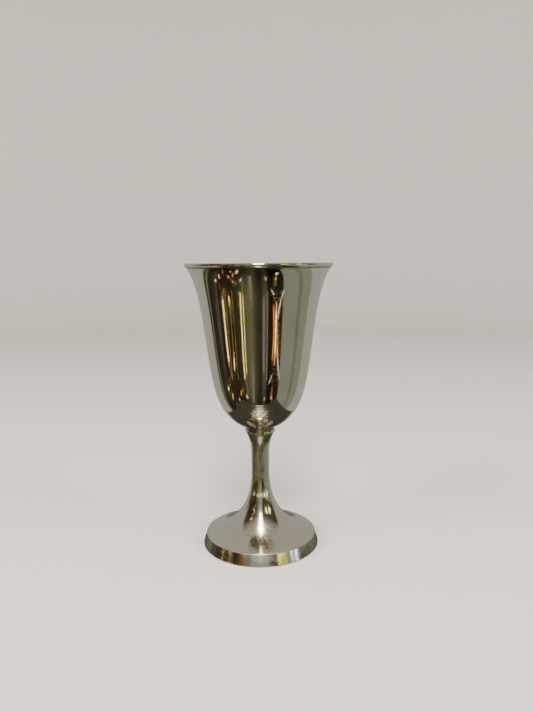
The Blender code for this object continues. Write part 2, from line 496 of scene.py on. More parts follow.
def hairlines(tree, coords, angles, spacing, length, width):
    """A mask of fine, long scratches, drawn as level lines of a stretched noise.

    Their spacing and length are in millimetres, and their width is a share of the noise.
    """
    mask = None
    for number, angle in enumerate(angles):
        # Each direction reads another part of the noise
        laid = add(tree, "ShaderNodeMapping", {
            "Vector": coords,
            "Location": (3.1 * number, 4.4, 1.9),
            "Rotation": (math.radians(angle), math.radians(angle * 0.7 + 20), math.radians(angle * 1.3)),
            "Scale": (1 / (length * MM), 1 / (spacing * MM), 1 / (spacing * MM)),
        })
        grain = add(tree, NOISE, {"Vector": laid, "Scale": 1.0, "Detail": 1.0})
        middle = add(tree, MATH, {0: grain.outputs["Fac"], 1: 0.5}, operation="SUBTRACT")
        away = add(tree, MATH, {0: middle}, operation="ABSOLUTE")
        line = add(tree, RANGE, {"Value": away, "From Max": width, "To Min": 1.0, "To Max": 0.0})
        if mask is not None:
            line = add(tree, MATH, {0: mask, 1: line}, operation="MAXIMUM")
        mask = line
    # They come in patches, about 14 mm across
    patches = add(tree, NOISE, {"Vector": coords, "Scale": 1 / (14 * MM), "Detail": 2.0}).outputs["Fac"]
    where = add(tree, RANGE, {"Value": patches, "From Min": 0.38, "From Max": 0.62})
    return add(tree, MATH, {0: mask, 1: where}, operation="MULTIPLY")


def silver_plate(name, gloss, rubbed, haze_gain, ring_spacing, ring_depth, wave_depth, scratch_width):
    """Silver plate on spun brass.

    Plate reflects nearly everything, a little warm. Polishing leaves it a mirror crossed by
    hairlines, spinning leaves fine rings, and the creases are darkened brown, as tarnish and as
    painted shade. gloss is its roughness where it is clean and unworn, and rubbed and haze_gain
    are what the bloom of tiny scratches and full haze add to it. The spacing and the depths are
    in millimetres.
    """
    finish = bpy.context.scene.chalice_finish
    material, tree, shader, coords = new_material(name)
    # Nearness to the creases, where brown is painted as tarnish and as painted shade
    crease_tarnish_and_shade = add(tree, "ShaderNodeAttribute", attribute_name="crease_tarnish_and_shade").outputs["Fac"]
    haze = add(tree, "ShaderNodeAttribute", attribute_name="haze").outputs["Fac"]
    unrolled = add(tree, "ShaderNodeUVMap", uv_map="UVMap")
    along = add(tree, "ShaderNodeSeparateXYZ", {0: unrolled}).outputs["Y"]

    # Broad clouds of thinner, yellower plate, about 20 mm across
    clouds = add(tree, NOISE, {
        "Vector": coords, "Scale": 1 / (20 * MM), "Detail": 3.0, "Roughness": 0.6,
    }).outputs["Fac"]
    tint = add(tree, RANGE, {"Value": clouds, "From Min": 0.35, "From Max": 0.75, "To Max": 0.4})
    plate = add(tree, MIX, {
        "Factor": tint, MIX_A: (*finish.silver, 1.0), MIX_B: (*finish.thin_silver, 1.0),
    }, data_type="RGBA").outputs[MIX_RESULT]
    # Finger smears and cloth wipes, about 6 mm across, which also break up the tarnish and the painted
    # shade in the creases
    smears = add(tree, NOISE, {
        "Vector": coords, "Scale": 1 / (6 * MM), "Detail": 4.0, "Roughness": 0.65, "Distortion": 1.2,
    }).outputs["Fac"]
    # The creases are darkened towards brown: tarnish, and painted shade where crease shadows fall
    stain_and_shade = add(tree, MATH, {0: crease_tarnish_and_shade, 1: smears}, operation="MULTIPLY")
    stain_and_shade = add(tree, MATH, {0: stain_and_shade, 1: 1.6}, operation="MULTIPLY", use_clamp=True)
    stained_and_shaded = add(tree, MIX, {
        "Factor": stain_and_shade, MIX_A: plate, MIX_B: (*finish.tarnish_and_shade_colour, 1.0),
    }, data_type="RGBA").outputs[MIX_RESULT]
    feed(shader, "Base Color", stained_and_shaded)

    angles = (0, 37, 74, 118, 155)
    scratches = hairlines(tree, coords, angles, spacing=2.6, length=60, width=scratch_width)
    scratch_gain = 0.12
    crease_roughness_gain = 0.25
    rough = add(tree, MATH, {0: haze, 1: haze_gain, 2: gloss}, operation="MULTIPLY_ADD")
    smeared = add(tree, RANGE, {"Value": smears, "From Min": 0.40, "From Max": 0.75, "To Max": 0.05})
    rough = add(tree, MATH, {0: rough, 1: smeared}, operation="ADD")
    rough = add(tree, MATH, {0: scratches, 1: scratch_gain, 2: rough}, operation="MULTIPLY_ADD")
    rough = add(tree, MATH, {0: crease_tarnish_and_shade, 1: crease_roughness_gain, 2: rough}, operation="MULTIPLY_ADD")
    # Cleaning rubs a bloom of tiny scratches into the mirror, here 0.15 mm apart so that they show
    rubs = add(tree, NOISE, {"Vector": coords, "Scale": 1 / (0.15 * MM), "Detail": 1.0}).outputs["Fac"]
    bloom = add(tree, RANGE, {"Value": rubs, "From Min": 0.50, "From Max": 0.58, "To Max": rubbed})
    feed(shader, "Roughness", add(tree, MATH, {0: rough, 1: bloom}, operation="ADD"))

    # Rings left by spinning, from a noise read only along the outline, so that each closes on itself
    ring_place = add(tree, MATH, {0: along, 1: 1 / ring_spacing}, operation="MULTIPLY")
    rings = add(tree, NOISE, {
        "W": ring_place, "Scale": 1.0, "Detail": 3.0, "Roughness": 0.7,
    }, noise_dimensions="1D").outputs["Fac"]
    ripple = add(tree, NOISE, {"Vector": coords, "Scale": 1 / (24 * MM), "Detail": 1.0}).outputs["Fac"]
    wavy = add(tree, BUMP, {"Height": ripple, "Strength": 1.0, "Distance": wave_depth * MM})
    ringed = add(tree, BUMP, {
        "Height": rings, "Strength": 1.0, "Distance": ring_depth * MM, "Normal": wavy,
    })
    scored = add(tree, BUMP, {
        "Height": scratches, "Strength": 0.5, "Distance": 0.006 * MM, "Normal": ringed,
    }, invert=True)
    feed(shader, "Normal", scored)
    shader.inputs["Metallic"].default_value = 1.0
    return material


def machined_metal(name, clean, stained_and_shaded, gloss, mark_size, mark_depth):
    """A turned or rolled metal part that was never polished: dull, with tool marks and stains."""
    material, tree, shader, coords = new_material(name)
    blotches = add(tree, NOISE, {
        "Vector": coords, "Scale": 1 / (3 * MM), "Detail": 4.0, "Roughness": 0.6,
    }).outputs["Fac"]
    stain_and_shade = add(tree, RANGE, {"Value": blotches, "From Min": 0.42, "From Max": 0.72, "To Max": 0.8})
    colour = add(tree, MIX, {
        "Factor": stain_and_shade, MIX_A: (*clean, 1.0), MIX_B: (*stained_and_shaded, 1.0),
    }, data_type="RGBA").outputs[MIX_RESULT]
    feed(shader, "Base Color", colour)
    rough = add(tree, MATH, {0: stain_and_shade, 1: 0.22, 2: gloss}, operation="MULTIPLY_ADD")
    feed(shader, "Roughness", rough)
    # Tool marks run round the axis, so they are ten times as long as they are wide
    fine = 1 / (mark_size * MM)
    laid = add(tree, "ShaderNodeMapping", {"Vector": coords, "Scale": (0.1 * fine, 0.1 * fine, fine)})
    marks = add(tree, NOISE, {"Vector": laid, "Scale": 1.0, "Detail": 2.0}).outputs["Fac"]
    cut = add(tree, BUMP, {"Height": marks, "Strength": 0.6, "Distance": mark_depth * MM})
    feed(shader, "Normal", cut)
    shader.inputs["Metallic"].default_value = 1.0
    return material


def finish_named(name):
    """One of the finishes, made the first time that it is asked for."""
    found = bpy.data.materials.get(name)
    if found:
        return found
    finish = bpy.context.scene.chalice_finish
    if name == "polished_silver_plate":
        # Buffed to a mirror: ripples too shallow to see except in what they reflect
        return silver_plate(
            name, finish.bright_gloss, rubbed=0.04, haze_gain=0.18, ring_spacing=0.9, ring_depth=0.0008,
            wave_depth=0.022, scratch_width=0.008,
        )
    if name == "handled_silver_plate":
        # Worn satin by handling and cleaning: turning rings about 0.35 mm apart, drawn coarser
        # than the real 0.1 mm feed marks so that they show
        return silver_plate(
            name, finish.worn_gloss, rubbed=0.14, haze_gain=0.30, ring_spacing=0.35, ring_depth=0.0022,
            wave_depth=0.012, scratch_width=0.020,
        )
    if name == "buffed_edge_plate":
        # Foot moulding, kept bright by handling, with the most scratches because it is set down on
        return silver_plate(
            name, finish.edge_gloss, rubbed=0.12, haze_gain=0.30, ring_spacing=0.6, ring_depth=0.0012,
            wave_depth=0.030, scratch_width=0.024,
        )
    if name == "turned_brass":
        # Free-cutting brass, turned and left to dull
        return machined_metal(
            name, finish.brass, srgb("#8A6A32"), gloss=0.28, mark_size=0.5, mark_depth=0.010,
        )
    # Bright zinc on mild steel: bluish grey, with white bloom where damp has got at it
    return machined_metal(
        "zinc_plated_steel", finish.zinc, srgb("#8E8F8C"), gloss=0.33, mark_size=0.4, mark_depth=0.008,
    )


# ---------------------------------------------------------------- what a user would change

class ChaliceSizes(bpy.types.PropertyGroup):
    """Sizes of the drawn pieces that a user may change."""

    bowl_wall: FloatProperty(
        name="Bowl Wall", description="Thickness of the bowl's sheet",
        default=0.8 * MM, min=0.3 * MM, max=2 * MM, unit="LENGTH",
    )
    stem_wall: FloatProperty(
        name="Stem Wall", description="Thickness of the stem's and foot's sheet",
        default=0.9 * MM, min=0.3 * MM, max=2 * MM, unit="LENGTH",
    )
    bead_radius: FloatProperty(
        name="Rim Bead Radius", description="Radius of the wire round the mouth",
        default=0.95 * MM, min=0.5 * MM, max=1.2 * MM, unit="LENGTH",
    )
    corner: FloatProperty(
        name="Corner Radius", description="Rounding of the cut edges",
        default=0.12 * MM, min=0.02 * MM, max=0.3 * MM, unit="LENGTH",
    )
    thread_pitch: FloatProperty(
        name="Thread Pitch", description="Pitch of the tie rod's thread, 0.7 mm for M4",
        default=0.7 * MM, min=0.4 * MM, max=1 * MM, unit="LENGTH",
    )
    sides: IntProperty(
        name="Sides", description="Number of faces round each spun piece",
        default=192, min=48, max=256,
    )


class ChaliceFinish(bpy.types.PropertyGroup):
    """Colours and gloss of the metals."""

    silver: FloatVectorProperty(
        name="Silver", description="Clean silver plate", subtype="COLOR", size=3,
        default=srgb("#E9E4D6"), min=0, max=1,
    )
    thin_silver: FloatVectorProperty(
        name="Thin Silver", description="Plate that has yellowed where it is thin", subtype="COLOR",
        size=3, default=srgb("#DCCFAB"), min=0, max=1,
    )
    # Brown that darkens the creases: tarnish, and painted shade
    tarnish_and_shade_colour: FloatVectorProperty(
        name="Tarnish", description="Tarnish in the creases", subtype="COLOR", size=3,
        default=srgb("#5B4A30"), min=0, max=1,
    )
    brass: FloatVectorProperty(
        name="Brass", description="Boss under the bowl", subtype="COLOR", size=3,
        default=srgb("#D2AE63"), min=0, max=1,
    )
    zinc: FloatVectorProperty(
        name="Zinc", description="Zinc plating of the rod, washers and nut", subtype="COLOR", size=3,
        default=srgb("#B9BCC0"), min=0, max=1,
    )
    bright_gloss: FloatProperty(
        name="Bright Roughness", description="Roughness of the bowl's polish",
        default=0.02, min=0.0, max=1.0,
    )
    worn_gloss: FloatProperty(
        name="Worn Roughness", description="Roughness of the stem and foot",
        default=0.055, min=0.0, max=1.0,
    )
    edge_gloss: FloatProperty(
        name="Edge Roughness", description="Roughness of the foot's moulding",
        default=0.035, min=0.0, max=1.0,
    )


class ChaliceStage(bpy.types.PropertyGroup):
    """Floor, light and camera."""

    floor: FloatVectorProperty(
        name="Floor", description="Paper of the floor and backdrop", subtype="COLOR", size=3,
        default=srgb("#E4E1DA"), min=0, max=1,
    )
    cove_radius: FloatProperty(
        name="Cove Radius", description="Distance from the chalice to the foot of the backdrop",
        default=1.3, min=0.8, max=3.0, unit="LENGTH",
    )
    camera_distance: FloatProperty(
        name="Camera Distance", description="Distance of the camera in front of the chalice",
        default=0.3673, min=0.2, max=2.0, unit="LENGTH",
    )
    camera_height: FloatProperty(
        name="Camera Height", description="Height of the camera above the floor",
        default=0.17755, min=0.0, max=1.0, unit="LENGTH",
    )
    camera_tilt: FloatProperty(
        name="Camera Tilt", description="How far the camera looks down",
        default=math.radians(8.716), min=0.0, max=math.radians(90), subtype="ANGLE",
    )
    lens: FloatProperty(
        name="Lens", description="Focal length on a 36 mm sensor, in millimetres",
        default=30.3, min=10, max=200,
    )


# ---------------------------------------------------------------- the pieces

class CHALICE_OT_bowl(bpy.types.Operator):
    """Spin the bell-shaped bowl from one sheet"""

    bl_idname = "chalice.bowl"
    bl_label = "Bowl"

    def execute(self, context):
        sizes = context.scene.chalice_sizes
        outline = shell(BOWL_OUTER, sizes.bowl_wall / MM, sizes.corner / MM)
        # Tarnish and painted shade darken the bowl under the wire, and on the base where the collar meets
        # it
        seam_radius = 10.0
        creases = [(*BOWL_EDGE, 0.5), (seam_radius, height_on(BOWL_OUTER, seam_radius), 0.7)]
        silver = finish_named("polished_silver_plate")
        bowl = turn("spun_bowl", outline, silver, sizes.sides, creases, haze=(0.0, 0.35))
        settle(bowl, "bowl")
        return {"FINISHED"}


class CHALICE_OT_rim_wire(bpy.types.Operator):
    """Bead the wire that stiffens the mouth"""

    bl_idname = "chalice.rim_wire"
    bl_label = "Rim Wire"

    def execute(self, context):
        sizes = context.scene.chalice_sizes
        bead = sizes.bead_radius / MM
        centre = (MOUTH_RADIUS - bead, CHALICE_HEIGHT - bead)
        edge_outer = Vector(BOWL_OUTER[0])
        edge_inner = Vector(parallel(BOWL_OUTER, sizes.bowl_wall / MM)[0])
        across = (edge_inner - edge_outer).normalized()
        # The wire sits on the sheet's edge, a hairline up and out from it
        clearance = Vector((across.y, -across.x)) * HAIRLINE
        seat = [tuple(edge_outer + clearance), tuple(edge_inner + clearance)]
        outside = arc(centre, bead, 90, -62, steps=22)
        corners = outside + seat + arc(centre, bead, 170, 98, steps=12)
        outline = eased(corners, sizes.corner / MM)
        silver = finish_named("polished_silver_plate")
        # Tarnish and painted shade darken the wire where it and the sheet meet
        joint = (43.9, 175.6, 0.45)
        wire = turn("rim_bead", outline, silver, sizes.sides, creases=[joint])
        settle(wire, "rim_wire")
        return {"FINISHED"}


class CHALICE_OT_collar(bpy.types.Operator):
    """Turn the beaded ring between bowl and stem"""

    bl_idname = "chalice.collar"
    bl_label = "Collar"

    def execute(self, context):
        sizes = context.scene.chalice_sizes
        lowest = 72.45

        # A cove under the bowl, down to the groove above the bead
        cove_edge = 9.65
        groove = (8.75, 74.75)
        under_bowl = height_on(BOWL_OUTER, cove_edge) - HAIRLINE
        hollow = curve((cove_edge, under_bowl), (9.2, 75.75), (8.75, 75.4), groove, steps=12)

        # The bead, which is rounded above and below a narrow band
        bead = 0.75
        bead_centre = COLLAR_RADIUS - bead
        band_top = 73.95
        upper = arc((bead_centre, band_top), bead, 70, 0, steps=10)
        lower = arc((bead_centre, lowest + bead), bead, 0, -80, steps=10)

        # The spigot that stands in the stem, and the bore round the boss
        spigot = 6.5
        spigot_end = 70.3
        chamfer = 0.3
        bore = BOSS_RADIUS + 2 * HAIRLINE
        underside = [
            (bead_centre, lowest),
            (spigot, lowest),
            (spigot, spigot_end + chamfer),
            (spigot - chamfer, spigot_end),
            (bore, spigot_end),
            (bore, height_on(BOWL_OUTER, bore) - HAIRLINE),
        ]
        # The top follows the bowl's base
        seat = [(radius, height_on(BOWL_OUTER, radius) - HAIRLINE) for radius in (6.5, 7.8, 8.8)]

        outline = eased(hollow + upper + lower + underside + seat, sizes.corner / MM)
        # Tarnish and painted shade darken the groove, the cove's edge under the bowl and the underside
        # beside the bead
        creases = [(*groove, 0.45), (cove_edge, under_bowl, 0.5), (8.7, lowest, 0.45)]
        silver = finish_named("polished_silver_plate")
        collar = turn("beaded_collar", outline, silver, COLLAR_SIDES, creases)
        settle(collar, "collar")
        return {"FINISHED"}


class CHALICE_OT_stem_foot(bpy.types.Operator):
    """Spin the hollow stem and the round foot, in one"""

    bl_idname = "chalice.stem_foot"
    bl_label = "Stem and Foot"

    def execute(self, context):
        sizes = context.scene.chalice_sizes
        outline = shell(STEM_HEAD + TRUMPET[1:], sizes.stem_wall / MM, sizes.corner / MM)
        # Fingers have dulled the neck
        grip = (NECK_RADIUS, 56.0, 14.0, 0.4)
        # Tarnish and painted shade darken the top of the stem, under the collar
        stem = turn(
            "spun_stem_foot", outline, finish_named("handled_silver_plate"), sizes.sides,
            creases=[(*STEM_TOP, 0.6)], haze=(0.0, 1.0), worn=[grip],
        )
        settle(stem, "stem_foot")
        return {"FINISHED"}


class CHALICE_OT_foot_rim(bpy.types.Operator):
    """Turn the bevelled moulding that the chalice stands on"""

    bl_idname = "chalice.foot_rim"
    bl_label = "Foot Rim"

    def execute(self, context):
        sizes = context.scene.chalice_sizes
        # A rounded shoulder, tangent to the band
        shoulder = arc((34.454, 6.86), 0.4, 105, 20, steps=14)
        band = straight((34.86, 6.9), (FOOT_RADIUS - 0.04, 0.62), steps=24)
        roll_radius = 0.45
        roll = arc((FOOT_RADIUS - roll_radius, roll_radius), roll_radius, 10, -90, steps=8)

        # Inside, a plain bore with a small chamfer at each end
        bore = 32.6
        chamfer = 0.15
        ledge = 6.1
        inside = [
            (bore + chamfer, 0.0),
            (bore, chamfer),
            (bore, ledge - chamfer),
            (bore + chamfer, ledge),
            (34.35, ledge),
        ]

        # The shoulder is rubbed dull, so it draws a pale line round the foot
        rubbed_line = (34.6, 7.25, 0.35, 1.0)
        # Tarnish and painted shade darken the bottom edge, where the foot stands on the floor
        rim = turn(
            "bevelled_foot_rim", eased(shoulder + band + roll + inside, sizes.corner / MM),
            finish_named("buffed_edge_plate"), sizes.sides,
            creases=[(FOOT_RADIUS, 0.0, 0.5)], haze=(0.0, 0.6), worn=[rubbed_line],
        )
        settle(rim, "foot_rim")
        return {"FINISHED"}


def turned_boss(corner):
    """The brass boss under the bowl, with a blind hole for the rod."""
    chamfer = 0.3
    # The hole is countersunk, and goes a little deeper than the rod reaches
    hole = ROD_RADIUS + HAIRLINE
    countersink = 0.4
    hole_top = ROD_TOP + 0.6
    boss = turn("turned_boss", eased([
        (0.0, BOSS_TOP),
        (BOSS_RADIUS - chamfer, BOSS_TOP),
        (BOSS_RADIUS, BOSS_TOP - chamfer),
        (BOSS_RADIUS, BOSS_END + chamfer),
        (BOSS_RADIUS - chamfer, BOSS_END),
        (hole + countersink, BOSS_END),
        (hole, BOSS_END + countersink),
        (hole, hole_top),
        (0.0, hole_top),
    ], corner), finish_named("turned_brass"), SMALL_SIDES)
    settle(boss, "bowl_boss")


def threaded_rod(pitch, steel):
    """The rod up the stem, threaded from end to end between two short cones."""
    lead = 0.45
    rows = straight((ROD_RADIUS, ROD_TOP - lead), (ROD_RADIUS, ROD_END + lead), steps=700)
    outline = [(0.0, ROD_TOP), (ROD_RADIUS - lead, ROD_TOP)] + rows
    outline += [(ROD_RADIUS - lead, ROD_END), (0.0, ROD_END)]
    where = [0.0, 0.0] + [1.0] * len(rows) + [0.0, 0.0]
    thread = {"where": where, "pitch": pitch, "depth": 0.6 * pitch}
    rod = turn("threaded_rod", outline, steel, ROD_SIDES, thread=thread)
    settle(rod, "tie_rod")


def dished_washer(corner, steel):
    """The dished washer, whose upper edge bears on the inside of the trumpet."""
    seat = 16.0
    thickness = 1.2
    brim = 19.9
    dish = turn("dished_washer", eased([
        (12.0, brim),
        (12.1, 19.2),
        (6.0, seat),
        (ROD_HOLE, seat),
        (ROD_HOLE, seat + thickness),
        (5.6, seat + thickness),
        (11.2, brim),
    ], corner), steel, SMALL_SIDES)
    settle(dish, "cup_washer")


def spring_washer(steel):
    """The split ring between the nut and the dished washer."""
    name = "spring_washer"
    width = 1.5
    thickness = 0.9
    gap = 0.8
    radius = ROD_HOLE + width / 2
    seed = new_object("path", bpy.data.meshes.new("path"))
    mesh = run_tree(seed, tree_named("Split Ring", split_ring_tree), {
        "Radius": radius * MM,
        "Turns": 1 - gap / (math.tau * radius),
        "Rise": 0.15 * MM,
        "Width": thickness * MM,
        "Thickness": width * MM,
        "Height": (RING_BOTTOM + thickness / 2) * MM,
        "Material": steel,
    })
    mesh.name = name
    close_up(mesh)
    settle(new_object(name, mesh), "lock_washer")


def hexagon_nut(steel):
    """A hexagon nut whose corners are cut off by a cone at each end."""
    name = "hexagon_nut"
    flats = 3.5
    cone_radius = 0.95 * flats
    # The cone slopes by 30 degrees, as it does on a turned nut
    slope = math.tan(math.radians(30))
    bore = ROD_RADIUS + HAIRLINE
    lead = 0.35
    steps = 96
    rows = []
    for step in range(steps):
        angle = math.tau * step / steps
        from_flat = (angle % (math.pi / 3)) - math.pi / 6
        side = flats / math.cos(from_flat)
        drop = (side - cone_radius) * slope
        outline = [
            (cone_radius, NUT_TOP),
            (side, NUT_TOP - drop),
            (side, NUT_BOTTOM + drop),
            (cone_radius, NUT_BOTTOM),
            (bore + lead, NUT_BOTTOM),
            (bore, NUT_BOTTOM + lead),
            (bore, NUT_TOP - lead),
            (bore + lead, NUT_TOP),
        ]
        rows.append([(r * math.cos(angle) * MM, r * math.sin(angle) * MM, z * MM) for r, z in outline])
    mesh = lattice(name, rows, steel, closed=True)
    mesh.shade_smooth()
    mesh.set_sharp_from_angle(angle=math.radians(25))
    close_up(mesh)
    settle(new_object(name, mesh), "nut")


class CHALICE_OT_fastening(bpy.types.Operator):
    """Make the boss, tie rod, dished washer, spring washer and nut inside the stem"""

    bl_idname = "chalice.fastening"
    bl_label = "Boss, Rod, Washers and Nut"

    def execute(self, context):
        sizes = context.scene.chalice_sizes
        steel = finish_named("zinc_plated_steel")
        turned_boss(sizes.corner / MM)
        threaded_rod(sizes.thread_pitch / MM, steel)
        dished_washer(sizes.corner / MM, steel)
        spring_washer(steel)
        hexagon_nut(steel)
        return {"FINISHED"}


# ---------------------------------------------------------------- the stage

def shine(tree, colour, strength):
    """Make a material's surface shine and not reflect."""
    tree.nodes.remove(tree.nodes["Principled BSDF"])
    glow = add(tree, "ShaderNodeEmission", {"Color": colour, "Strength": strength})
    feed(tree.nodes["Material Output"], "Surface", glow)


def plain_light(name, colour, strength):
    """A surface that shines evenly."""
    material = bpy.data.materials.new(name)
    material.use_nodes = True
    shine(material.node_tree, (*srgb(colour), 1.0), strength)
    return material


def from_front(azimuth, elevation, distance):
    """A place by its angles in degrees from the chalice, with azimuth from the front to the right."""
    turned = math.radians(azimuth)
    raised = math.radians(elevation)
    flat = distance * math.cos(raised)
    return Vector((flat * math.sin(turned), -flat * math.cos(turned), distance * math.sin(raised)))


def reflected_only(piece):
    """Keep a card out of sight and out of the light, so that only metal shows it."""
    piece.visible_camera = False
    piece.visible_diffuse = False
    piece.visible_transmission = False
    piece.visible_volume_scatter = False
    piece.visible_shadow = False


def card(name, bottom, top, width, elevations, distance, material):
    """A curved card round the chalice.

    bottom and top are the azimuths of its foot and its head. All angles are in degrees.
    """
    centre = Vector((0.0, 0.0, 0.11))
    face_angle = 3
    low, high = elevations
    across = max(1, int(width / face_angle))
    upward = max(3, int((high - low) / face_angle))
    rows = []
    for row in range(upward + 1):
        share = row / upward
        start = bottom + (top - bottom) * share - width / 2
        elevation = low + (high - low) * share
        rows.append([
            centre + from_front(start + width * column / across, elevation, distance)
            for column in range(across + 1)
        ])
    reflected_only(new_object(name, lattice(name, rows, material)))


def upright_sheet(name, material, left, right, behind, low, high):
    """A flat upright card behind the chalice, in metres."""
    rows = [[(left, behind, up), (right, behind, up)] for up in (low, high)]
    reflected_only(new_object(name, lattice(name, rows, material)))


def dim_room_light():
    """The dark side of the studio, in upright bands of olive, brown and grey, by the azimuth of each."""
    material, tree, _, coords = new_material("dim_room")
    stretched = add(tree, "ShaderNodeMapping", {"Vector": coords, "Scale": (1.0, 1.0, 0.35)})
    wander = add(tree, NOISE, {"Vector": stretched, "Scale": 2.2, "Detail": 3.0}).outputs["Fac"]
    split = add(tree, "ShaderNodeSeparateXYZ", {0: coords}).outputs
    front = add(tree, MATH, {0: split["Y"], 1: -1.0}, operation="MULTIPLY")
    azimuth = add(tree, MATH, {0: split["X"], 1: front}, operation="ARCTAN2")
    # The bands sway by up to this many radians, and half of it is taken off again
    sway = 0.22
    shifted = add(tree, MATH, {0: wander, 1: sway, 2: azimuth}, operation="MULTIPLY_ADD")
    share = add(tree, RANGE, {
        "Value": shifted, "From Min": sway / 2 - math.pi, "From Max": sway / 2 + math.pi,
    })
    bands = add(tree, "ShaderNodeValToRGB", {"Fac": share})
    ramp = bands.color_ramp
    stops = (
        (-112, "#4E4A3C"), (-106, "#4E4A3C"), (-104, "#8A8E7E"), (-102, "#2E281F"), (-90, "#3E372C"),
        (-85, "#544C4A"), (-81, "#2B241A"), (-66, "#3A3222"), (-50, "#2C281B"), (-40, "#45402C"),
        (-27, "#5C5A45"), (-14, "#6E6C55"), (-5, "#4A4535"), (3, "#332E23"), (12, "#5E6050"),
        (20, "#2A2519"), (27, "#1D1911"), (46, "#332D20"), (60, "#3A3A30"),
    )
    while len(ramp.elements) < len(stops):
        ramp.elements.new(1.0)
    for element, (angle, colour) in zip(ramp.elements, stops):
        element.position = 0.5 + angle / 360
        element.color = (*srgb(colour), 1.0)
    # Lighter towards the ceiling, and darker towards the ground
    rise = add(tree, RANGE, {"Value": split["Z"], "From Min": 1.15, "From Max": 1.5})
    colour = add(tree, MIX, {
        "Factor": rise, MIX_A: bands.outputs["Color"], MIX_B: (*srgb("#A89F94"), 1.0),
    }, data_type="RGBA").outputs[MIX_RESULT]
    depth = add(tree, RANGE, {
        "Value": split["Z"], "From Min": -1.15, "From Max": -0.65, "To Min": 0.40,
    })
    shine(tree, colour, depth)
    return material


def pitted_gloss_black():
    """Black lacquer, pitted every 10 mm or so, and a warm pool of light that the pits break up."""
    material, tree, shader, coords = new_material("pitted_gloss_black")
    pits = add(tree, NOISE, {"Vector": coords, "Scale": 1 / (10 * MM), "Detail": 4.0}).outputs["Fac"]
    dented = add(tree, BUMP, {"Height": pits, "Strength": 1.0, "Distance": 0.6 * MM})
    feed(shader, "Normal", dented)
    # The pool lies in front of the foot, and fades from its heart to its edge
    centre = (0.0, -54 * MM, 0.0)
    heart = 14 * MM
    edge = 36 * MM
    away = add(tree, "ShaderNodeVectorMath", {0: coords, 1: centre}, operation="DISTANCE")
    pool = add(tree, RANGE, {
        "Value": away.outputs["Value"], "From Min": heart, "From Max": edge, "To Min": 1.0, "To Max": 0.0,
    })
    glints = add(tree, RANGE, {
        "Value": pits, "From Min": 0.47, "From Max": 0.60, "To Min": 0.10, "To Max": 2.4,
    })
    glow = add(tree, MATH, {0: pool, 1: glints}, operation="MULTIPLY")
    feed(shader, "Emission Strength", glow)
    shader.inputs["Emission Color"].default_value = (*srgb("#D6CCA0"), 1.0)
    shader.inputs["Base Color"].default_value = (*srgb("#2A2824"), 1.0)
    shader.inputs["Roughness"].default_value = 0.22
    return material


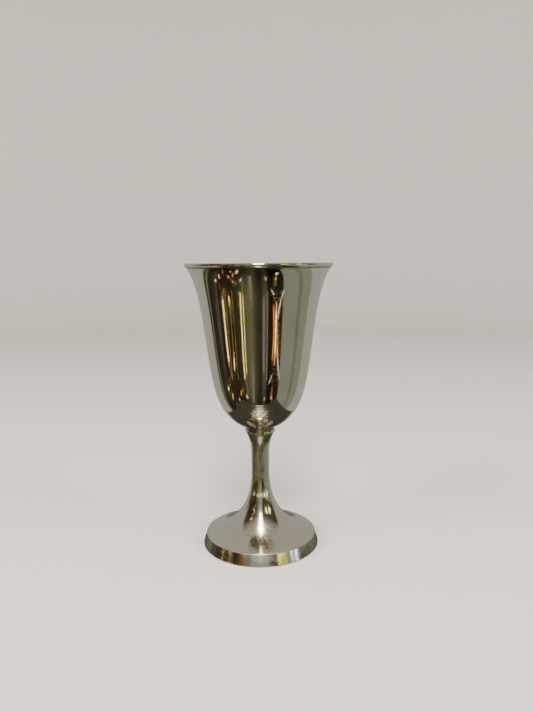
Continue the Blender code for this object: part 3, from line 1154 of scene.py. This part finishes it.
def surroundings():
    """What the silver reflects: a pale wall behind, a dim room in front with its lamps, a sage panel.

    Silver shows nothing of its own. Among dark cards it looks like silver, and in a white
    tent it would look like plaster.
    """
    card("dim_room", 0, 0, 360, (-90, 90), 1.60, dim_room_light())
    pale = plain_light("pale_wall", "#D9D6CE", 0.62)
    upright_sheet("pale_wall", pale, left=-0.44, right=0.50, behind=0.16, low=-0.42, high=1.58)
    upright_sheet("upper_wall", pale, left=-1.4, right=1.4, behind=0.17, low=0.17, high=1.58)
    sage = plain_light("sage_panel", "#888F81", 1.0)
    card("sage_panel", 90, 84, 76, (-84, 6), 1.10, sage)
    card("sage_seam", 84, 84, 9, (-84, 6), 1.09, plain_light("sage_seam", "#7C786F", 1.0))
    shades = {
        "cream": plain_light("cream_lamp", "#FFE98A", 3.9),
        "tan": plain_light("tan_lamp", "#C9A566", 1.2),
        "peach": plain_light("peach_lamp", "#FF8A55", 1.9),
        "orange": plain_light("orange_lamp", "#FFB84E", 2.2),
        "white": plain_light("white_lamp", "#FFEFD8", 2.8),
        "bronze": plain_light("bronze_lamp", "#7A6230", 1.0),
        "grey": plain_light("grey_front", "#8E9082", 0.95),
        "lilac": plain_light("lilac_front", "#857A80", 0.9),
        "slate": plain_light("slate_front", "#74786A", 0.9),
        "pale": plain_light("pale_front", "#D2DAD0", 1.45),
        "bright": plain_light("bright_front", "#E8EDE8", 1.7),
        "strip": plain_light("strip_end", "#FFF9F0", 3.2),
        "blue": plain_light("window_light", "#DCEBFF", 5.0),
        "yellow": plain_light("yellow_lamp", "#FFF07A", 3.6),
    }
    # Azimuth at the foot and at the head, width, lowest and highest elevation, all in degrees, shade
    lamps = (
        # Streaks on the bowl, which faces a little downwards
        (-70.5, -71.5, 2.4, -20.3, -16.6, "cream"),
        (-66.0, -64.5, 0.7, -26.0, -16.0, "tan"),
        (-58.0, -56.5, 1.6, -23.2, -20.8, "cream"),
        (-56.5, -56.0, 0.7, -20.8, -17.0, "tan"),
        (-51.0, -50.0, 0.7, -27.0, -18.5, "tan"),
        (-34.3, -34.3, 1.2, -27.5, -17.4, "cream"),
        (-29.0, -29.0, 0.6, -26.0, -18.6, "cream"),
        (-31.6, -31.6, 2.0, -27.0, -15.8, "bronze"),
        (-29.0, -31.0, 0.7, -36.0, -27.5, "tan"),
        (-33.0, -35.0, 1.6, -40.0, -37.0, "white"),
        (-60.0, -58.0, 2.6, -50.0, -46.5, "peach"),
        (-47.0, -45.0, 2.0, -55.0, -47.0, "cream"),
        (-52.0, -50.0, 1.0, -47.0, -40.0, "orange"),
        (-78.0, -71.0, 1.4, -48.0, -41.0, "tan"),
        (-67.0, -71.0, 0.8, -25.5, -20.3, "tan"),
        (-18.0, -14.0, 7.0, -46.0, -23.0, "slate"),
        (-16.0, -14.0, 2.0, -44.0, -25.5, "grey"),
        (10.0, 10.5, 3.0, -26.0, -16.5, "grey"),
        (17.0, 17.5, 0.8, -29.0, -17.6, "tan"),
        (28.8, 31.2, 1.9, -22.4, -18.7, "peach"),
        (34.6, 35.0, 2.2, -21.1, -18.0, "cream"),
        (33.5, 37.8, 1.2, -23.4, -16.8, "orange"),
        (48.5, 38.5, 1.1, -27.0, -20.0, "white"),
        (23.5, 30.0, 0.9, -30.0, -26.5, "white"),
        (38.0, 38.0, 3.6, -49.0, -45.5, "white"),
        (35.0, 32.0, 1.4, -43.0, -32.0, "tan"),
        (33.0, 33.0, 2.6, -41.0, -38.5, "orange"),
        # Small glints near the bowl's edge and round its base
        (-84.0, -84.0, 1.8, -29.0, -27.2, "cream"),
        (-79.0, -76.0, 0.9, -37.0, -32.0, "cream"),
        (-76.0, -75.0, 0.7, -27.5, -24.0, "tan"),
        (-59.0, -58.0, 1.8, -40.5, -38.3, "white"),
        (-50.0, -48.0, 1.6, -36.0, -33.0, "orange"),
        (-44.0, -42.0, 1.8, -34.5, -32.0, "tan"),
        (13.0, 15.0, 0.8, -44.0, -40.0, "cream"),
        (-88.0, -88.0, 0.9, -17.0, -13.0, "lilac"),
        (-83.0, -83.5, 0.7, -19.0, -13.5, "lilac"),
        # The front, seen in the neck, the trumpet and the band of the foot
        (-2.0, -2.0, 34.0, -15.0, 0.0, "grey"),
        (-2.0, -2.0, 58.0, 0.0, 4.4, "pale"),
        (-2.0, -2.0, 30.0, 4.4, 30.0, "grey"),
        (0.0, 0.0, 9.0, 0.2, 4.2, "bright"),
        (0.0, 0.0, 3.0, 20.0, 34.0, "pale"),
        (0.0, 0.0, 5.0, 32.0, 46.0, "strip"),
        # Glints on the band of the foot
        (41.0, 41.0, 18.0, -2.0, 2.4, "yellow"),
        (61.0, 65.0, 5.0, -4.6, 0.0, "blue"),
        (70.0, 75.0, 6.0, -6.8, -2.2, "blue"),
        (-77.0, -77.0, 3.0, -6.4, -3.0, "cream"),
        (-70.0, -70.0, 1.5, -5.5, -2.0, "tan"),
        (-62.0, -61.0, 4.0, -4.2, -1.2, "white"),
        (-57.0, -57.0, 2.0, -3.6, -0.4, "orange"),
        (-39.0, -38.0, 3.0, -1.6, 1.4, "peach"),
        (-31.0, -31.0, 2.5, -0.8, 2.4, "cream"),
        # Glints on the trumpet
        (38.0, 42.0, 11.0, 22.0, 32.0, "yellow"),
        (66.0, 60.0, 8.0, 18.0, 28.0, "blue"),
        (-42.0, -42.0, 4.0, 17.0, 20.0, "peach"),
        (-52.0, -50.0, 3.0, 22.0, 25.0, "cream"),
        (-44.0, -44.0, 3.0, 27.0, 30.0, "white"),
        (-55.0, -55.0, 3.0, 31.0, 34.0, "peach"),
        (-60.0, -60.0, 5.0, 38.0, 42.0, "cream"),
    )
    # Each stands a little in front of the last, so that none lie in one place
    furthest = 1.05
    spacing = 0.002
    for number, (bottom, top, width, low, high, shade) in enumerate(lamps):
        distance = furthest - spacing * number
        card(f"lamp_{number}", bottom, top, width, (low, high), distance, shades[shade])
    # A black gloss plate under the foot, 8 inches square and just clear of the floor
    side = 0.1016
    lift = 0.0004
    plate_rows = [[(-side, depth, lift), (side, depth, lift)] for depth in (-side, side)]
    plate = lattice("gloss_plate", plate_rows, pitted_gloss_black())
    reflected_only(new_object("gloss_plate", plate))


def paper(colour):
    """Matt seamless paper: nearly even, with a faint mottle."""
    material, tree, shader, coords = new_material("seamless_paper")
    mottle = add(tree, NOISE, {"Vector": coords, "Scale": 6.0, "Detail": 4.0}).outputs["Fac"]
    shade = add(tree, MIX, {
        "Factor": mottle, MIX_A: (*colour, 1.0), MIX_B: (*(c * 0.97 for c in colour), 1.0),
    }, data_type="RGBA").outputs[MIX_RESULT]
    feed(shader, "Base Color", shade)
    shader.inputs["Roughness"].default_value = 0.9
    shader.inputs["Specular IOR Level"].default_value = 0.2
    return material


def cove(radius, material):
    """A round floor that curves up into a backdrop on every side."""
    bend = 0.5
    steps = 24
    wall_top = 1.6
    sides = 96
    profile = [(0.3, 0.0), (0.8, 0.0)]
    for step in range(steps + 1):
        angle = math.pi / 2 * step / steps
        profile.append((radius + bend * math.sin(angle), bend * (1 - math.cos(angle))))
    profile.append((radius + bend, wall_top))
    shape = bmesh.new()
    centre = shape.verts.new((0.0, 0.0, 0.0))
    rings = []
    for out, up in profile:
        ring = []
        for side in range(sides):
            angle = math.tau * side / sides
            ring.append(shape.verts.new((out * math.cos(angle), out * math.sin(angle), up)))
        rings.append(ring)
    for side in range(sides):
        beside = (side + 1) % sides
        shape.faces.new((centre, rings[0][side], rings[0][beside]))
        for inner, outer in zip(rings, rings[1:]):
            shape.faces.new((inner[side], outer[side], outer[beside], inner[beside]))
    mesh = bpy.data.meshes.new("cove")
    shape.to_mesh(mesh)
    shape.free()
    mesh.materials.append(material)
    mesh.shade_smooth()
    floor = new_object("cove", mesh)
    floor.visible_glossy = False


def soft_light(name, place, size, colour, power):
    """An area light that faces the chalice.

    Its place is an azimuth, an elevation and a distance, and its size a width and a height.
    """
    data = bpy.data.lights.new(name, "AREA")
    data.shape = "RECTANGLE"
    data.size, data.size_y = size
    data.color = srgb(colour)
    data.energy = power
    light = new_object(name, data)
    stand = from_front(*place)
    target = Vector((0.0, 0.0, 0.09))
    facing = (target - stand).to_track_quat("-Z", "Y").to_matrix().to_4x4()
    light.matrix_world = Matrix.Translation(stand) @ facing
    light.visible_camera = False
    return light


class CHALICE_OT_stage(bpy.types.Operator):
    """Set out the floor, the lights, the cards that the silver reflects, and the camera"""

    bl_idname = "chalice.stage"
    bl_label = "Stage"

    def execute(self, context):
        scene = context.scene
        stage = scene.chalice_stage
        cove(stage.cove_radius, paper(stage.floor))

        world = bpy.data.worlds.new("soft_room")
        world.use_nodes = True
        backdrop = world.node_tree.nodes["Background"]
        backdrop.inputs["Color"].default_value = (*srgb("#F2F0EC"), 1.0)
        backdrop.inputs["Strength"].default_value = 0.48
        scene.world = world

        soft_light("overhead_strip", (0, 60, 1.3), (0.22, 0.95), "#FFF9F0", power=17)
        # The silver shows the strip only, because softboxes would add streaks of their own
        for light in (
            soft_light("left_softbox", (-62, 38, 1.5), (0.7, 0.7), "#FFF6EA", power=19),
            soft_light("right_softbox", (68, 34, 1.5), (0.6, 0.7), "#F2F6FF", power=13),
        ):
            light.visible_glossy = False

        surroundings()

        data = bpy.data.cameras.new("camera")
        data.sensor_width = 36.0
        data.lens = stage.lens
        data.clip_start = 0.01
        camera = new_object("camera", data)
        # The camera stands a little to the right and leans a little
        sideways = 0.00444
        lean = math.radians(-0.417)
        look = Matrix.Rotation(math.pi / 2 - stage.camera_tilt, 4, "X") @ Matrix.Rotation(lean, 4, "Z")
        place = Matrix.Translation((sideways, -stage.camera_distance, stage.camera_height))
        camera.matrix_world = place @ look
        bpy.context.scene.camera = camera
        return {"FINISHED"}


class CHALICE_PT_sidebar(bpy.types.Panel):
    """Lists the pieces and the stage in the sidebar"""

    bl_idname = "CHALICE_PT_sidebar"
    bl_label = "Communion Chalice"
    bl_space_type = "VIEW_3D"
    bl_region_type = "UI"
    bl_category = "Chalice"

    def draw(self, context):
        for group_name, group in GROUPS.items():
            box = self.layout.box()
            for name in group.__annotations__:
                box.prop(getattr(context.scene, group_name), name)
        for operator in OPERATORS:
            self.layout.operator(operator.bl_idname)


GROUPS = {"chalice_sizes": ChaliceSizes, "chalice_finish": ChaliceFinish, "chalice_stage": ChaliceStage}
OPERATORS = (
    CHALICE_OT_bowl, CHALICE_OT_rim_wire, CHALICE_OT_collar, CHALICE_OT_stem_foot,
    CHALICE_OT_foot_rim, CHALICE_OT_fastening, CHALICE_OT_stage,
)


def register():
    """Make the properties, the operators and the panel known to Blender."""
    for item in (*GROUPS.values(), *OPERATORS, CHALICE_PT_sidebar):
        bpy.utils.register_class(item)
    for name, group in GROUPS.items():
        setattr(bpy.types.Scene, name, PointerProperty(type=group))


def unregister():
    """Take them out again."""
    for name in GROUPS:
        delattr(bpy.types.Scene, name)
    for item in (*GROUPS.values(), *OPERATORS, CHALICE_PT_sidebar):
        bpy.utils.unregister_class(item)


def main():
    """Build every piece and the stage."""
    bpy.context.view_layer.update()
    register()
    bpy.ops.chalice.bowl()
    bpy.ops.chalice.rim_wire()
    bpy.ops.chalice.collar()
    bpy.ops.chalice.stem_foot()
    bpy.ops.chalice.foot_rim()
    bpy.ops.chalice.fastening()
    bpy.ops.chalice.stage()


if __name__ == "__main__":
    main()
